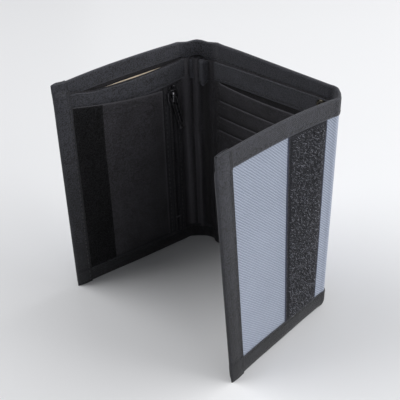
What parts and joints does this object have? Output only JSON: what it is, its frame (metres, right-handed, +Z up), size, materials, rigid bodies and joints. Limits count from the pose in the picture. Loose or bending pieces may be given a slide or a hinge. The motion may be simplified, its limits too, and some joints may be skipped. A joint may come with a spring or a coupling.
{
  "type": "trifold wallet",
  "caption": "Trifold fabric wallet that stands open, with zipped coin pocket, card slots, full-length bill compartment, chain eyelet and hook-and-loop closure.",
  "frame": {"origin": "centre of the middle panel's bottom edge, on the face that the wallet stands on", "axes": "+Z up, +X along the middle panel from fold A to fold B, +Y out of the middle panel's back; the wallet opens towards -Y"},
  "size_m": [0.1104, 0.0864, 0.125],
  "materials": {
    "outer_twill": "blue-grey diagonal twill, slightly sheened",
    "black_nylon": "matte plain-weave nylon",
    "binding_tape": "folded woven tape, stitched",
    "hook_tape": "hook half of a touch fastener, glinting hooks between plain selvedges",
    "loop_tape": "loop half of a touch fastener, fuzzy pile",
    "zip_tape": "woven zip tape",
    "zip_coil": "moulded nylon coil",
    "zip_metal": "black lacquered metal, edges worn bright",
    "eyelet_metal": "antique dark brass",
    "kraft_card": "uncoated kraft",
    "clear_film": "clear flexible film"
  },
  "bodies": {
    "middle_panel": {"middle_outer_cover": "outer_twill", "middle_bill_lining": "black_nylon", "middle_inner_wall": "black_nylon", "middle_top_inner_binding": "binding_tape", "middle_bottom_binding": "binding_tape", "middle_top_outer_binding": "binding_tape", "card_slot_1": "black_nylon", "card_slot_2": "black_nylon", "card_slot_3": "black_nylon", "card_slot_4": "black_nylon", "chain_eyelet": "eyelet_metal", "eyelet_washer": "eyelet_metal"},
    "fold_a": {"fold_a_outer_cover": "outer_twill", "fold_a_bill_lining": "black_nylon", "fold_a_inner_cloth": "black_nylon", "fold_a_top_inner_binding": "binding_tape", "fold_a_bottom_binding": "binding_tape", "fold_a_top_outer_binding": "binding_tape"},
    "left_panel": {"left_outer_cover": "outer_twill", "left_bill_lining": "black_nylon", "left_inner_wall": "black_nylon", "left_top_inner_binding": "binding_tape", "left_bottom_binding": "binding_tape", "left_top_outer_binding": "binding_tape", "left_side_binding": "binding_tape", "coin_pocket_front": "black_nylon", "loop_strip": "loop_tape", "zip_tape_pocket_side": "zip_tape", "zip_coil_pocket_side": "zip_coil", "zip_top_stop_pocket_side": "zip_metal", "zip_tape_fold_side": "zip_tape", "zip_coil_fold_side": "zip_coil", "zip_top_stop_fold_side": "zip_metal", "zip_bottom_stop": "zip_metal", "zip_facing_strip": "black_nylon"},
    "zip_slider": {"zip_slider": "zip_metal"},
    "zip_pull": {"zip_pull": "zip_metal"},
    "insert_card": {"insert_card": "kraft_card"},
    "fold_b": {"fold_b_outer_cover": "outer_twill", "fold_b_bill_lining": "black_nylon", "fold_b_inner_cloth": "black_nylon", "fold_b_top_inner_binding": "binding_tape", "fold_b_bottom_binding": "binding_tape", "fold_b_top_outer_binding": "binding_tape"},
    "right_panel": {"right_outer_cover": "outer_twill", "right_bill_lining": "black_nylon", "right_inner_wall": "black_nylon", "right_top_inner_binding": "binding_tape", "right_bottom_binding": "binding_tape", "right_top_outer_binding": "binding_tape", "right_side_binding": "binding_tape", "hook_strip": "hook_tape", "window_pocket_frame": "black_nylon", "window_film": "clear_film"}
  },
  "joints": [
    {"name": "fold_a_outer", "type": "hinge", "parent": "middle_panel", "child": "fold_a", "pos_m": [-0.0375, 0.0022, 0], "axis": [0, 0, 1], "range_deg": [-39.75, 50.25]},
    {"name": "fold_a_inner", "type": "hinge", "parent": "fold_a", "child": "left_panel", "pos_m": [-0.05134, -0.00931, 0], "axis": [0, 0, 1], "range_deg": [-39.75, 50.25]},
    {"name": "fold_b_outer", "type": "hinge", "parent": "middle_panel", "child": "fold_b", "pos_m": [0.0375, 0.0022, 0], "axis": [0, 0, -1], "range_deg": [-47, 43]},
    {"name": "fold_b_inner", "type": "hinge", "parent": "fold_b", "child": "right_panel", "pos_m": [0.045, -0.00584, 0], "axis": [0, 0, -1], "range_deg": [-47, 43]},
    {"name": "zip_slide", "type": "slide", "parent": "left_panel", "child": "zip_slider", "axis": [0, 0, -1], "range_m": [0, 0.072]},
    {"name": "pull_swing", "type": "hinge", "parent": "zip_slider", "child": "zip_pull", "pos_m": [-0.04719, -0.01974, 0.0982], "axis": [-0.1776, -0.9581, -0.225], "range_deg": [0, 180]},
    {"name": "card_lift", "type": "slide", "parent": "left_panel", "child": "insert_card", "axis": [0, 0, 1], "range_m": [0, 0.11]}
  ]
}
